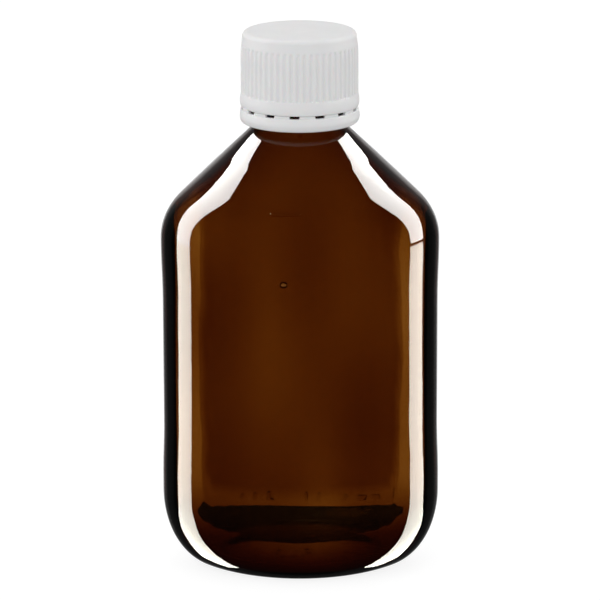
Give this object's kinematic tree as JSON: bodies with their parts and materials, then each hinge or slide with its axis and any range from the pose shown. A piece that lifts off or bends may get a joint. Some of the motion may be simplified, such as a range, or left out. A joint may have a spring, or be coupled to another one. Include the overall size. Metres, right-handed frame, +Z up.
{
  "type": "medicine bottle",
  "caption": "Flat oval amber glass medicine bottle with a ribbed screw cap over a foam liner and a tamper-evident band held to the cap by breakaway bridges.",
  "frame": {"origin": "middle of the bottle's base, on the surface it stands on", "axes": "+Z up along the neck, +X along the wide side, -Y towards the front"},
  "size_m": [0.074, 0.0502, 0.1461],
  "materials": {
    "amber_glass": "glossy blown amber soda-lime glass",
    "white_polypropylene": "satin injection-moulded polypropylene",
    "liner_foam": "matt foamed polyethylene"
  },
  "bodies": {
    "bottle": {"glass_bottle": "amber_glass"},
    "liner": {"sealing_liner": "liner_foam"},
    "cap": {"screw_cap": "white_polypropylene"},
    "band": {"tamper_band": "white_polypropylene", "breakaway_bridges": "white_polypropylene"}
  },
  "joints": [
    {"name": "cap_rise", "type": "slide", "parent": "bottle", "child": "liner", "axis": [0, 0, 1], "range_m": [0, 0.016]},
    {"name": "cap_turn", "type": "hinge", "parent": "liner", "child": "cap", "pos_m": [0, 0, 0.138], "axis": [0, 0, 1], "range_deg": [0, 1800]},
    {"name": "band_spin", "type": "hinge", "parent": "bottle", "child": "band", "pos_m": [0, 0, 0.1236], "axis": [0, 0, 1], "continuous": true}
  ],
  "couplings": [
    {"joint": "cap_rise", "follows": "cap_turn", "m_per_rad": 0.00050611}
  ]
}
